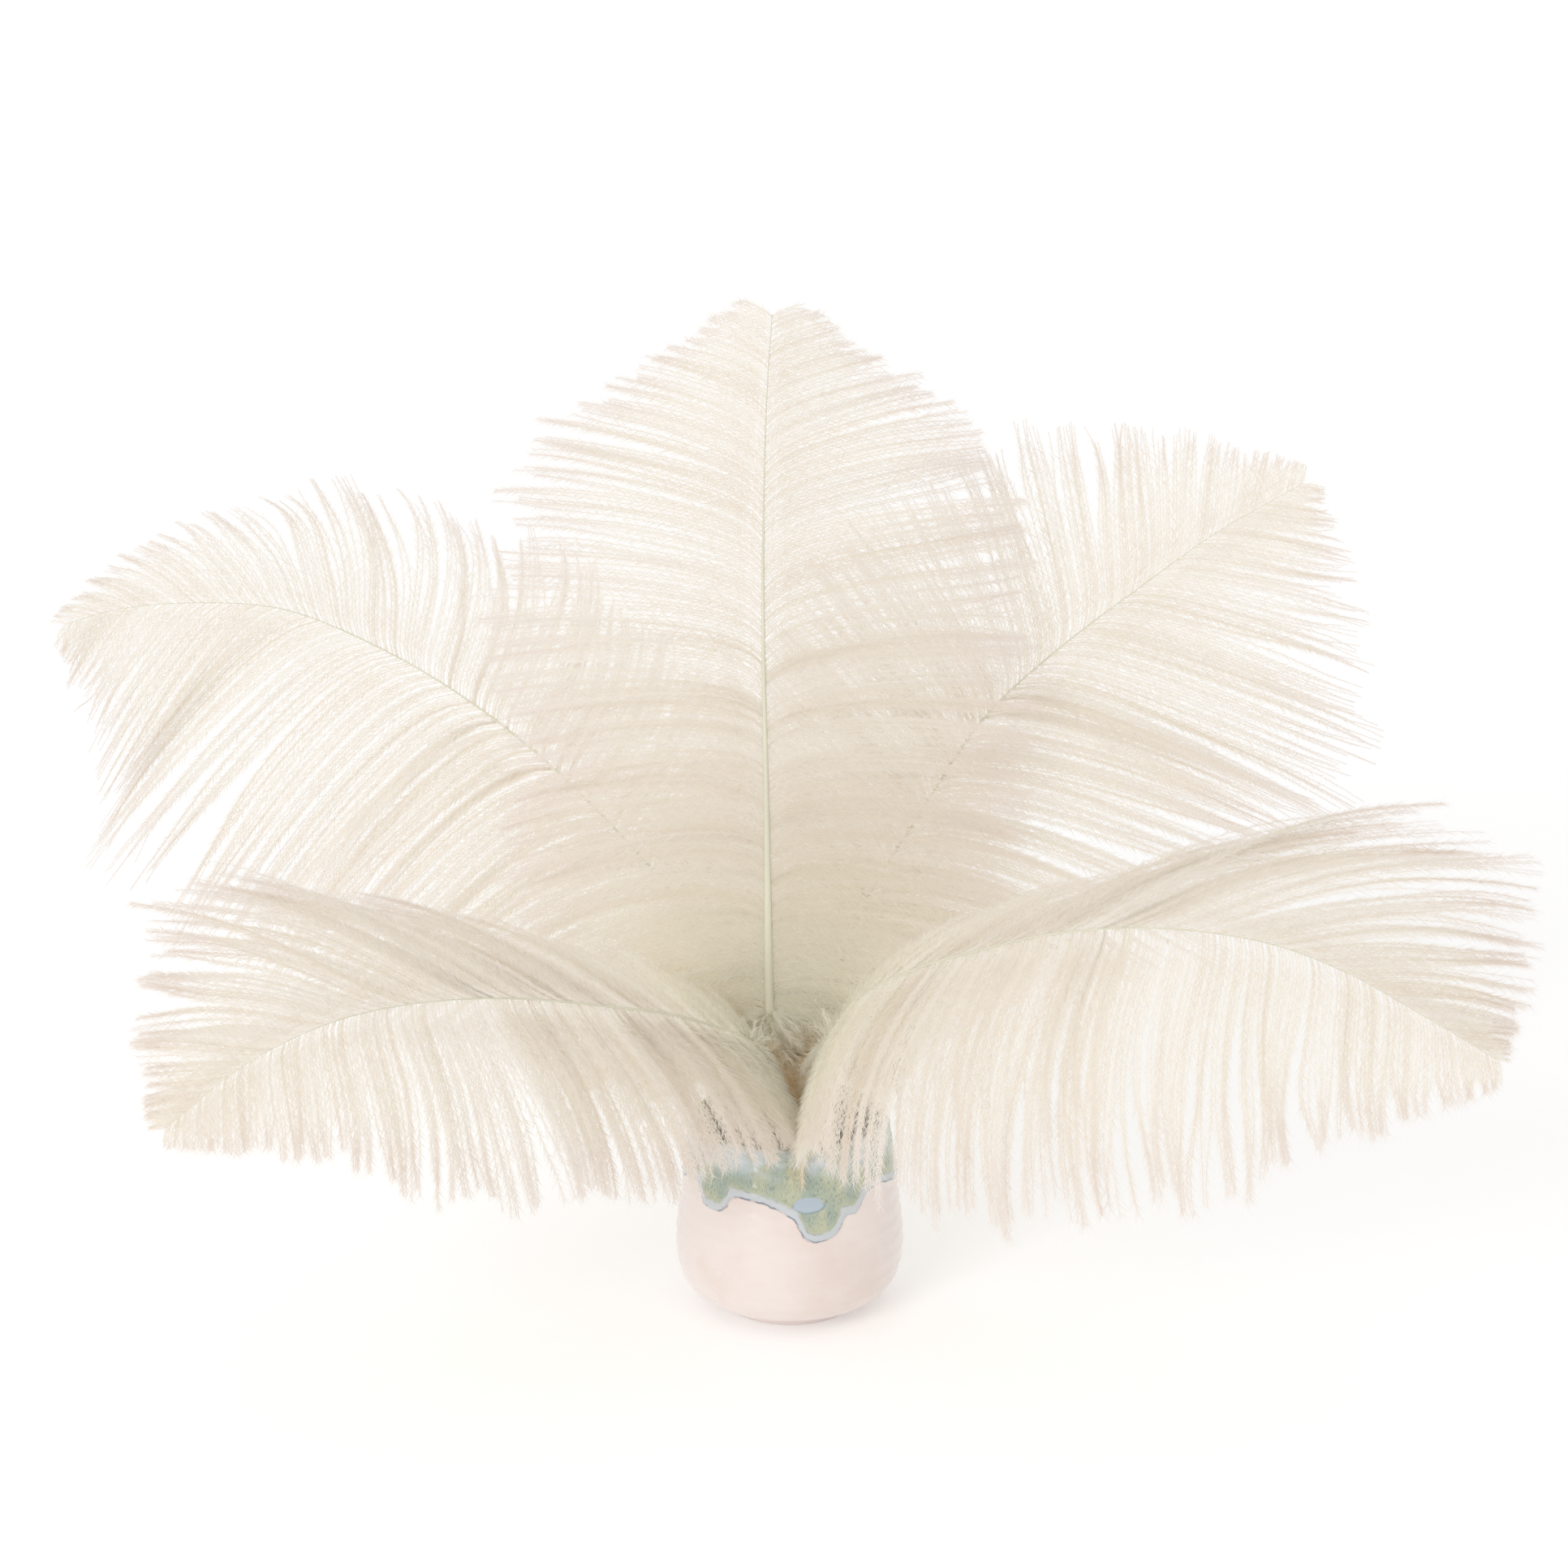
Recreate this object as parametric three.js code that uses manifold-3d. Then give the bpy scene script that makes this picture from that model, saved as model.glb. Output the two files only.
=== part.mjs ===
// Five ostrich plumes standing in a small round stoneware vase.
// Units are millimetres, +Z is up, and the origin is the centre of the vase's flat foot.
// +X runs along the fan of plumes, from left to right, and the fan opens towards -Y.
//
// A plume is one solid: a tapering quill and two vanes. A vane is a thin sheet of barbs, whole beside
// the quill and parted into pointed locks at its edge. All of it follows from the path of one barb,
// which leaves the quill, opens outwards, curls round the plume's hollow side and sags.
import * as THREE from "three";
import { mergeVertices } from "three/addons/utils/BufferGeometryUtils.js";
import Module from "manifold-3d";

const wasm = await Module();
wasm.setup();

// ---------------------------------------------------------------- driving dimensions

const VASE = {
  height: 70,
  footRadius: 24,
  rimRadius: 34.4,
  wall: 3.5,
  floor: 6,
  turns: 30,
  bellySteps: 12,
  lipSteps: 4,
  // The outside between the foot and the rim, as radius and height.
  belly: [[24.5, 3.2], [33, 6.2], [38, 12.5], [40, 23], [38.9, 37], [36.6, 53], [34.4, 67.8]],
};

const QUILL = {
  nibRadius: 1.1,
  stemRadius: 2.1,
  vaneRadius: 1.6,
  tipRadius: 0.75,
  nibLength: 7,
  sides: 6,
  rings: 14,
};

const VANE = {
  locks: 20, // to a side
  rootThickness: 0.9,
  tipThickness: 0.55,
  rootInset: 0.25, // how far from the quill's axis a sheet starts, inside the quill
  inner: 0.3, // shares of a barb's length: a row of points in the whole sheet,
  split: 0.6, // where the sheet parts into locks,
  neck: 0.84, // and the last row before a lock's point
  neckWidth: 0.56, // a lock's width there, as a share of its pitch
  unevenness: 0.06, // the locks' lengths differ by up to twice this share,
  unevenTurn: 2.4, // on a wave that turns this many radians from lock to lock
};

const BARB = {
  steps: 12, // straight steps along a barb's path
  rootOpening: 0.45, // the share of its opening angle that a barb has at the quill
  opensWithin: 0.1, // the share of its length in which it opens
};

// Each plume: its quill from the cut end to the tip, the distance along it at which the vanes start,
// and the direction that its face looks in. Lists of three are the values at the base, the middle and
// the tip of a vane: barb length, opening angle from the quill, sweep along a barb away from the quill,
// camber of the vane at the quill, curl along a barb, and sag as a share of the barb's own direction.
// rise and fall are the shares of the vane over which its barbs reach full length and lose it again.
const PLUMES = {
  feather_center: {
    quill: [[-3, 2, 7], [-6, 1, 71], [-7, 2, 103], [-8, 6, 180], [-9, 12, 236], [-9, 20, 276],
      [-8, 29, 316], [-6, 41, 345]],
    vaneStart: 80,
    face: [[0, -1, 0.1], [0, -1, 0.1], [0, -1, 0.5]],
    left: { length: [76, 95, 9], rise: 0.25, fall: 0.3, open: [84, 76, 55], sweep: [0, 0, 0],
      camber: [0, 2, 8], curl: [20, 16, 10], sag: [0.9, 0.35, 0.2] },
    right: { length: [76, 92, 9], rise: 0.25, fall: 0.33, open: [84, 76, 55], sweep: [0, 0, 0],
      camber: [0, 2, 8], curl: [20, 16, 10], sag: [0.9, 0.25, 0.2] },
  },
  feather_upper_left: {
    quill: [[8, 15, 7], [-8, 22, 67], [-19, 31, 97], [-37, 41, 129], [-60, 48, 157], [-92, 55, 187],
      [-121, 60, 208], [-150, 63, 224], [-178, 64, 235], [-206, 62, 238], [-234, 58, 237], [-253, 52, 233]],
    vaneStart: 80,
    face: [[0, -1, 0.2], [0, -1, 0.2], [0, -1, 0.4]],
    left: { length: [80, 114, 10], rise: 0.25, fall: 0.36, open: [66, 76, 30], sweep: [0, 0, 0],
      camber: [5, 5, 5], curl: [15, 10, 10], sag: [0.1, 0.05, 0] },
    right: { length: [78, 69, 14], rise: 0.25, fall: 0.36, open: [84, 84, 40], sweep: [0, 0, 0],
      camber: [16, 24, 26], curl: [14, 18, 15], sag: [0, 0, 0] },
  },
  feather_upper_right: {
    quill: [[-8, 8, 7], [7, 12, 69], [13, 17, 100], [25, 25, 136], [44, 33, 167], [67, 41, 201],
      [92, 47, 224], [121, 51, 246], [148, 52, 266], [177, 50, 284]],
    vaneStart: 80,
    face: [[0, -1, 0.2], [0, -1, 0.2], [0, -1, 0.4]],
    left: { length: [76, 82, 10], rise: 0.25, fall: 0.42, open: [70, 68, 60], sweep: [0, 0, 0],
      camber: [-2, 8, 16], curl: [8, 12, 10], sag: [0, 0, 0] },
    right: { length: [80, 120, 12], rise: 0.25, fall: 0.42, open: [64, 58, 48], sweep: [0, 0, 0],
      camber: [5, 5, 5], curl: [10, 10, 10], sag: [0.2, 0, 0] },
  },
  feather_lower_left: {
    quill: [[6, -6, 7], [-4, -12, 72], [-11, -20, 102], [-34, -40, 121], [-60, -62, 134], [-93, -86, 146],
      [-123, -105, 151], [-148, -118, 149], [-173, -128, 139], [-197, -135, 121]],
    vaneStart: 84,
    face: [[0.5, 0.4, 0.8], [-0.2, -0.4, 0.9], [-0.3, -0.6, 0.7]],
    left: { length: [42, 70, 12], rise: 0.3, fall: 0.45, open: [116, 100, 45], sweep: [0, 0, 0],
      camber: [15, 30, 20], curl: [45, 45, 20], sag: [0.3, 0.6, 0.5] },
    right: { length: [30, 108, 14], rise: 0.5, fall: 0.39, open: [50, 54, 42], sweep: [0, -15, -5],
      camber: [-24, -10, -5], curl: [5, 8, 10], sag: [0.3, 0.3, 0.2] },
  },
  feather_lower_right: {
    quill: [[-6, -13, 7], [6, -17, 72], [12, -22, 103], [24, -30, 125], [43, -42, 140], [61, -56, 151],
      [86, -74, 164], [117, -91, 172], [149, -106, 173], [174, -116, 167], [199, -124, 155],
      [223, -130, 142]],
    vaneStart: 84,
    face: [[-0.5, 0.4, 0.8], [0.2, -0.4, 0.9], [0.3, -0.6, 0.7]],
    left: { length: [30, 118, 14], rise: 0.55, fall: 0.41, open: [44, 48, 36], sweep: [0, -20, -5],
      camber: [-20, -6, 0], curl: [5, 10, 10], sag: [0.3, 0.25, 0.1] },
    right: { length: [44, 96, 12], rise: 0.3, fall: 0.42, open: [116, 92, 46], sweep: [0, 0, 0],
      camber: [15, 30, 20], curl: [45, 45, 20], sag: [0.3, 0.7, 0.5] },
  },
};

// ---------------------------------------------------------------- small helpers

const { clamp, degToRad, lerp, smoothstep } = THREE.MathUtils;
const DOWN = new THREE.Vector3(0, 0, -1);
const vector = (xyz) => new THREE.Vector3(...xyz);

// A value between those at the base, the middle and the tip, at v from 0 to 1.
function along([base, middle, tip], v) {
  return v < 0.5 ? lerp(base, middle, 2 * v) : lerp(middle, tip, 2 * v - 1);
}

// A closed geometry as a manifold-3d solid.
function solidOf(geometry) {
  const bare = geometry.clone();
  bare.deleteAttribute("normal");
  bare.deleteAttribute("uv");
  const merged = mergeVertices(bare, 1e-4);
  return new wasm.Manifold(new wasm.Mesh({
    numProp: 3,
    vertProperties: merged.attributes.position.array,
    triVerts: new Uint32Array(merged.index.array),
  }));
}

// A manifold-3d solid as a flat-shaded geometry.
function geometryOf(solid) {
  const mesh = solid.getMesh();
  const geometry = new THREE.BufferGeometry();
  geometry.setAttribute("position", new THREE.BufferAttribute(mesh.vertProperties, 3));
  geometry.setIndex(new THREE.BufferAttribute(mesh.triVerts, 1));
  geometry.computeVertexNormals();
  return geometry;
}

// ---------------------------------------------------------------- the path of a barb

// The quill's curve and length, and the frame on it: position, tangent towards the tip, the way that
// the face looks, and the side that is on the right as the face is seen with the tip up.
function quillOf(plume) {
  const curve = new THREE.CatmullRomCurve3(plume.quill.map(vector), false, "catmullrom", 0.5);
  const length = curve.getLength();
  const frameAt = (u) => {
    const v = clamp((u * length - plume.vaneStart) / (length - plume.vaneStart), 0, 1);
    const tangent = curve.getTangentAt(u);
    const face = new THREE.Vector3(...[0, 1, 2].map((k) => along(plume.face.map((f) => f[k]), v)));
    face.addScaledVector(tangent, -face.dot(tangent)).normalize();
    return { position: curve.getPointAt(u), tangent, face, side: tangent.clone().cross(face) };
  };
  return { length, frameAt };
}

// How long a vane's barbs are at v: they reach full length near the base and shorten to the tip.
function barbLength({ length: [base, middle, tip], rise, fall }, v) {
  const left = clamp((1 - v) / fall, 0, 1);
  const held = 1.12 * left - 0.12 * left ** 8;
  return lerp(base, middle, smoothstep(v, 0, rise)) * lerp(tip / middle, 1, held);
}

// The points of one barb's centre line, from the quill's axis to its tip, at v along the vane.
function barbPath(plume, quill, hand, v) {
  const vane = plume[hand];
  const sign = hand === "left" ? -1 : 1;
  const u = (plume.vaneStart + v * (quill.length - plume.vaneStart)) / quill.length;
  const { position, tangent, face, side } = quill.frameAt(Math.min(u, 1));
  const step = barbLength(vane, v) / BARB.steps;
  const opening = degToRad(along(vane.open, v));
  const path = [position.clone().addScaledVector(side, sign * VANE.rootInset)];
  for (let i = 0; i < BARB.steps; i++) {
    const t = (i + 0.5) / BARB.steps;
    const closed = (BARB.rootOpening - 1) * opening * Math.exp(-t / BARB.opensWithin);
    const angle = opening + closed + degToRad(along(vane.sweep, v)) * t;
    const bend = degToRad(along(vane.camber, v) + along(vane.curl, v) * t);
    const outward = side.clone().multiplyScalar(sign * Math.cos(bend)).addScaledVector(face, -Math.sin(bend));
    const heading = tangent.clone().multiplyScalar(Math.cos(angle)).addScaledVector(outward, Math.sin(angle));
    heading.addScaledVector(DOWN, along(vane.sag, v) * t).normalize();
    path.push(path[i].clone().addScaledVector(heading, step));
  }
  return path;
}

// ---------------------------------------------------------------- the plume's solids

function quillRadius(s, plume, length) {
  if (s < QUILL.nibLength) return lerp(QUILL.nibRadius, QUILL.stemRadius, Math.sqrt(s / QUILL.nibLength));
  if (s < plume.vaneStart) return lerp(QUILL.stemRadius, QUILL.vaneRadius, s / plume.vaneStart);
  return lerp(QUILL.vaneRadius, QUILL.tipRadius, (s - plume.vaneStart) / (length - plume.vaneStart));
}

// An upright cylinder whose rings are moved onto the quill's curve.
function quillSolid(plume, quill) {
  const geometry = new THREE.CylinderGeometry(1, 1, 1, QUILL.sides, QUILL.rings);
  const points = geometry.attributes.position;
  for (let i = 0; i < points.count; i++) {
    const u = clamp(points.getY(i) + 0.5, 0, 1);
    const radius = quillRadius(u * quill.length, plume, quill.length);
    const { position, face, side } = quill.frameAt(u);
    position.addScaledVector(side, points.getX(i) * radius).addScaledVector(face, points.getZ(i) * radius);
    points.setXYZ(i, position.x, position.y, position.z);
  }
  return solidOf(geometry);
}

// Gives a sheet of triangles a thickness, with a wall along every edge that only one triangle has.
function thicken(points, normals, thicknesses, triangles) {
  const count = points.length;
  const shifted = (share) => points.flatMap((point, i) => (
    point.clone().addScaledVector(normals[i], share * thicknesses[i]).toArray()
  ));
  const index = triangles.flatMap(([a, b, c]) => [a, b, c, a + count, c + count, b + count]);
  const edges = triangles.flatMap(([a, b, c]) => [[a, b], [b, c], [c, a]]);
  const known = new Set(edges.map(String));
  for (const [a, b] of edges) {
    if (!known.has(String([b, a]))) index.push(b, a, a + count, b, a + count, b + count);
  }
  const geometry = new THREE.BufferGeometry();
  geometry.setAttribute("position", new THREE.Float32BufferAttribute([...shifted(0.5), ...shifted(-0.5)], 3));
  geometry.setIndex(index);
  return geometry;
}

// The point a share of the way along a barb's path.
function pointOn(path, share) {
  const place = clamp(share, 0, 1) * BARB.steps;
  const i = Math.min(Math.floor(place), BARB.steps - 1);
  return path[i].clone().lerp(path[i + 1], place - i);
}

// One vane: rows of points shared by neighbouring locks up to where the sheet parts, then each lock's own.
function vaneSolid(plume, quill, hand) {
  const pitch = 1 / VANE.locks;
  const points = [];
  const normals = [];
  const thicknesses = [];
  const triangles = [];
  // Adds the point at a share of the barb at v, with the sheet's normal on the side of the plume's face.
  const addPoint = (v, share) => {
    const path = barbPath(plume, quill, hand, v);
    const before = barbPath(plume, quill, hand, Math.max(v - pitch / 2, 0));
    const after = barbPath(plume, quill, hand, Math.min(v + pitch / 2, 1));
    const upwards = pointOn(after, share).sub(pointOn(before, share));
    const outwards = pointOn(path, share + 1 / BARB.steps).sub(pointOn(path, share - 1 / BARB.steps));
    points.push(pointOn(path, share));
    normals.push((hand === "left" ? upwards.cross(outwards) : outwards.cross(upwards)).normalize());
    thicknesses.push(lerp(VANE.rootThickness, VANE.tipThickness, share));
    return points.length - 1;
  };
  // Turns the triangles so that they face the way that the plume's face looks.
  const addTriangles = (...corners) => {
    for (const [a, b, c] of corners) triangles.push(hand === "left" ? [a, b, c] : [a, c, b]);
  };
  const addColumn = (v) => [0, VANE.inner, VANE.split].map((share) => addPoint(v, share));
  let lower = addColumn(0);
  for (let k = 0; k < VANE.locks; k++) {
    const upper = addColumn((k + 1) * pitch);
    const middle = (k + 0.5) * pitch;
    const halfNeck = (VANE.neckWidth / 2) * pitch;
    const reach = 1 - VANE.unevenness * (1 + Math.sin(VANE.unevenTurn * k));
    const neck = [middle - halfNeck, middle + halfNeck].map((v) => addPoint(v, VANE.neck * reach));
    const tip = addPoint(middle, reach);
    for (let row = 0; row < 2; row++) {
      addTriangles([lower[row], upper[row], upper[row + 1]], [lower[row], upper[row + 1], lower[row + 1]]);
    }
    addTriangles([lower[2], upper[2], neck[1]], [lower[2], neck[1], neck[0]], [neck[0], neck[1], tip]);
    lower = upper;
  }
  return solidOf(thicken(points, normals, thicknesses, triangles));
}

function plumeGeometry(plume) {
  const quill = quillOf(plume);
  const left = vaneSolid(plume, quill, "left");
  const right = vaneSolid(plume, quill, "right");
  return geometryOf(quillSolid(plume, quill).add(left).add(right));
}

// ---------------------------------------------------------------- the vase

// A profile from the foot's centre, up the outside, over the rounded rim and down the inside to the floor.
function vaseGeometry() {
  const belly = new THREE.SplineCurve(VASE.belly.map(([r, z]) => new THREE.Vector2(r, z)));
  const lipRadius = VASE.wall / 2;
  const lip = new THREE.Path();
  lip.absarc(VASE.rimRadius - lipRadius, VASE.height - lipRadius, lipRadius, 0, Math.PI, false);
  const inside = VASE.belly.slice(2).reverse().slice(1);
  const profile = [
    new THREE.Vector2(0, 0),
    new THREE.Vector2(VASE.footRadius - 1, 0),
    new THREE.Vector2(VASE.footRadius, 1),
    ...belly.getPoints(VASE.bellySteps).slice(0, -1),
    ...lip.getPoints(VASE.lipSteps),
    ...inside.map(([r, z]) => new THREE.Vector2(r - VASE.wall, Math.max(z, VASE.floor + 2.5))),
    new THREE.Vector2(VASE.footRadius + 4, VASE.floor),
    new THREE.Vector2(0, VASE.floor),
  ];
  // A lathe turns about Y, so the profile's height is turned up to Z.
  return new THREE.LatheGeometry(profile, VASE.turns).rotateX(Math.PI / 2);
}

// ---------------------------------------------------------------- the scene

const glazedStoneware = new THREE.MeshStandardMaterial({ color: 0xf0e2d9, roughness: 0.25, metalness: 0 });
const feather = new THREE.MeshStandardMaterial({ color: 0xf0e8dd, roughness: 0.9, metalness: 0 });

const group = new THREE.Group();

function place(name, geometry, material) {
  const mesh = new THREE.Mesh(geometry, material);
  mesh.name = name;
  group.add(mesh);
}

place("vase", geometryOf(solidOf(vaseGeometry())), glazedStoneware);
for (const [name, plume] of Object.entries(PLUMES)) place(name, plumeGeometry(plume), feather);

export default group;
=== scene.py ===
# %% [markdown]
# # Ostrich plumes in a glazed vase
#
# Five cream ostrich plumes stand in a small round stoneware vase. This notebook dresses the solid
# model of that bunch: it keeps every size and place, and gives each surface its real look.
#
# An ostrich plume has no flat, zipped-up vane as a pigeon's feather has. Its barbs hang free of each
# other, and each barb carries hundreds of soft barbules, so the plume is a cloud of fine threads.
# That is why the plumes are made of threads here, and not of a sheet with a picture of threads on it.

# %% Load the frame
import math

import bmesh
import bpy
import numpy as np
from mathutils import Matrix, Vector


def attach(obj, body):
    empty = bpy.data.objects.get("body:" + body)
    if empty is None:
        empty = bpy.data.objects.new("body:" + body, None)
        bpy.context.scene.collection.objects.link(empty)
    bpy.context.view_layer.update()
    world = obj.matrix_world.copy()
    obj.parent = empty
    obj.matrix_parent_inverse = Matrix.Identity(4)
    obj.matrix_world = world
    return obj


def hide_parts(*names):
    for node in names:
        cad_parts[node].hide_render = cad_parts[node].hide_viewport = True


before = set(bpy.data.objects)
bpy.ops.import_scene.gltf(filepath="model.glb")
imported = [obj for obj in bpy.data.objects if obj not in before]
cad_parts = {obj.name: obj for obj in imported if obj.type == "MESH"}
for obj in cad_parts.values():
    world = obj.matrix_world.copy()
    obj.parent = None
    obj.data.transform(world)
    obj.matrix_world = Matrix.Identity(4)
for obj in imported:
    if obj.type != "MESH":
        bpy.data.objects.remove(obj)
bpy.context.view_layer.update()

MM = 0.001
print("nodes:", sorted(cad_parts))

# %% [markdown]
# ## The camera, the floor and the light
#
# The camera stands a metre and a half away and looks down by 18 degrees. A long lens from that far
# keeps the front plumes from looming over the ones behind. The light is that of a white studio: a
# bright surround that wraps round the threads, a wide far light at the front left that gives the vase
# its form, and a narrow upright lamp that the glaze mirrors as a soft stripe.

# %% Camera
CAMERA_PLACE = (-2.0 * MM, -1370.4 * MM, 636.5 * MM)
CAMERA_PITCH = 18.0
LENS = 97.118
SENSOR = 36.0

camera_data = bpy.data.cameras.new("camera")
camera_data.lens = LENS
camera_data.sensor_width = SENSOR
camera = bpy.data.objects.new("camera", camera_data)
camera.location = CAMERA_PLACE
camera.rotation_euler = (math.radians(90 - CAMERA_PITCH), 0, 0)
bpy.context.scene.collection.objects.link(camera)
bpy.context.scene.camera = camera
print("camera at", tuple(round(c, 3) for c in camera.location))

# %% Lights
SURROUND_STRENGTH = 0.8


def add_light(name, kind, place, aim, settings):
    """A light at place that looks at aim."""
    data = bpy.data.lights.new(name, kind)
    for key, value in settings.items():
        setattr(data, key, value)
    light = bpy.data.objects.new(name, data)
    light.location = place
    light.rotation_euler = (Vector(aim) - Vector(place)).to_track_quat("-Z", "Y").to_euler()
    bpy.context.scene.collection.objects.link(light)


world = bpy.data.worlds.new("studio")
world.use_nodes = True
world.node_tree.nodes["Background"].inputs["Color"].default_value = (1.0, 0.995, 0.99, 1)
world.node_tree.nodes["Background"].inputs["Strength"].default_value = SURROUND_STRENGTH
bpy.context.scene.world = world
bpy.context.scene.view_settings.view_transform = "Standard"
add_light("key", "SUN", (-1.9, -3.5, 2.1), (0, 0, 0), {"energy": 0.58, "angle": math.radians(25)})
add_light("strip", "AREA", (-1.1, -1.45, 0.5), (0, 0, 0.05),
          {"shape": "RECTANGLE", "size": 0.14, "size_y": 0.9, "energy": 3.0})

# %% [markdown]
# ## Finishes as expressions
#
# A finish is a small tree of shader nodes. Wiring them one by one hides what they compute, so a
# socket is wrapped in a class whose operators add the Math nodes: `1 - mask` or `noise * 0.2 + 0.5`
# then reads as the sum that it is. Every other node comes from one method, `node`.

# %% Shader helpers


class Value:
    """A number that varies over the surface: the output socket of a node."""

    def __init__(self, finish, socket):
        self.finish = finish
        self.socket = socket

    def math(self, operation, *inputs, clamp=False):
        settings = {"operation": operation, "use_clamp": clamp}
        return self.finish.node("ShaderNodeMath", settings, {i: x for i, x in enumerate(inputs)})

    def __add__(self, other):
        return self.math("ADD", self, other)

    def __sub__(self, other):
        return self.math("SUBTRACT", self, other)

    def __rsub__(self, other):
        return self.math("SUBTRACT", other, self)

    def __mul__(self, other):
        return self.math("MULTIPLY", self, other)

    __radd__ = __add__
    __rmul__ = __mul__

    def ramp(self, low, high):
        """0 below low, 1 above high, and smooth between them. Low may be the larger of the two."""
        inputs = {"Value": self, "From Min": low, "From Max": high}
        settings = {"interpolation_type": "SMOOTHSTEP"}
        return self.finish.node("ShaderNodeMapRange", settings, inputs)


class Finish:
    """A material, and the nodes that make it."""

    def __init__(self, name):
        self.material = bpy.data.materials.new(name)
        self.material.use_nodes = True
        self.tree = self.material.node_tree
        self.tree.nodes.clear()
        self.output = self.tree.nodes.new("ShaderNodeOutputMaterial")

    def node(self, kind, settings=None, inputs=None, output=0):
        """Adds a node, with its settings first, then the values or links of its sockets."""
        node = self.tree.nodes.new(kind)
        for key, value in (settings or {}).items():
            setattr(node, key, value)
        for key, value in (inputs or {}).items():
            if isinstance(value, Value):
                self.tree.links.new(value.socket, node.inputs[key])
            else:
                node.inputs[key].default_value = value
        return Value(self, node.outputs[output])

    def place(self, scale=(1, 1, 1)):
        """Where a point is in the piece, stretched by scale."""
        where = self.node("ShaderNodeTexCoord", output="Object")
        return self.node("ShaderNodeMapping", inputs={"Vector": where, "Scale": scale})

    def attribute(self, name):
        """A number that the mesh keeps at each of its points."""
        return self.node("ShaderNodeAttribute", {"attribute_name": name}, output="Fac")

    def noise(self, scale, detail=2.0, stretch=(1, 1, 1)):
        return self.node("ShaderNodeTexNoise", inputs={
            "Vector": self.place(stretch), "Scale": scale, "Detail": detail})

    def mix(self, factor, low, high):
        """A colour between low, where factor is 0, and high, where it is 1."""
        return self.node("ShaderNodeMix", {"data_type": "RGBA"}, {0: factor, 6: low, 7: high}, output=2)

    def shade(self, surface):
        self.tree.links.new(surface.socket, self.output.inputs["Surface"])
        return self.material


def colour(red, green, blue):
    """A colour given as it looks on a screen, from 0 to 255, as the linear values that nodes use."""
    shares = [c / 255 for c in (red, green, blue)]
    return tuple(c / 12.92 if c <= 0.04045 else ((c + 0.055) / 1.055) ** 2.4 for c in shares) + (1.0,)


# %% [markdown]
# ## The floor
#
# A plain white sheet, large enough that its far edge never shows. It glows a little, as a light table
# does, which softens the shadows that the plumes throw on it.

# %% Floor
FLOOR_SIZE = 6.0
FLOOR_GLOW = 0.165


def object_of(mesh, name):
    """A new object in the scene that shows mesh."""
    piece = bpy.data.objects.new(name, mesh)
    bpy.context.scene.collection.objects.link(piece)
    return piece


def mesh_of(shape, name):
    """The mesh that a bmesh holds. The bmesh is freed."""
    mesh = bpy.data.meshes.new(name)
    shape.to_mesh(mesh)
    shape.free()
    return mesh


paper = Finish("floor_paper")
shape = bmesh.new()
bmesh.ops.create_grid(shape, x_segments=1, y_segments=1, size=FLOOR_SIZE)
floor = object_of(mesh_of(shape, "floor"), "floor")
floor.data.materials.append(paper.shade(paper.node("ShaderNodeBsdfPrincipled", inputs={
    "Base Color": (0.98, 0.98, 0.98, 1), "Roughness": 0.8, "Specular IOR Level": 0.1,
    "Emission Color": (1, 1, 1, 1), "Emission Strength": FLOOR_GLOW})))
print("floor is", 2 * FLOOR_SIZE, "m wide")

# %% [markdown]
# ## The vase
#
# The vase was thrown on a wheel, so it is a profile turned about its axis. The profile runs from the
# foot's centre, up the outside, over the rounded lip and down the inside. Turning it with `spin` in
# many steps leaves a mesh fine enough to carry the drips of the second glaze, which are real relief:
# that glaze is thick, and it stops in a rolled edge.

# %% Vase profile
VASE_HEIGHT = 70.0
FOOT_RADIUS = 24.0
RIM_RADIUS = 34.4
WALL = 3.5
FLOOR_THICKNESS = 6.0
BELLY = [(24.5, 3.2), (33, 6.2), (38, 12.5), (40, 23), (38.9, 37), (36.6, 53), (34.4, 67.8)]
PROFILE_STEPS = 14
LIP_STEPS = 12


def smooth_path(points, steps):
    """A Catmull-Rom curve through points, with steps to each stretch between two of them."""
    points = np.array(points, float)
    ends = (2 * points[0] - points[1], 2 * points[-1] - points[-2])
    knots = np.vstack([ends[0], points, ends[1]])
    t = np.linspace(0, 1, steps, endpoint=False)[:, None]
    stretches = []
    for a, b, c, d in zip(knots, knots[1:], knots[2:], knots[3:]):
        bend = (2 * a - 5 * b + 4 * c - d) * t ** 2 + (3 * b - a - 3 * c + d) * t ** 3
        stretches.append(b + ((c - a) * t + bend) / 2)
    return np.vstack([*stretches, points[-1:]])


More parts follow.
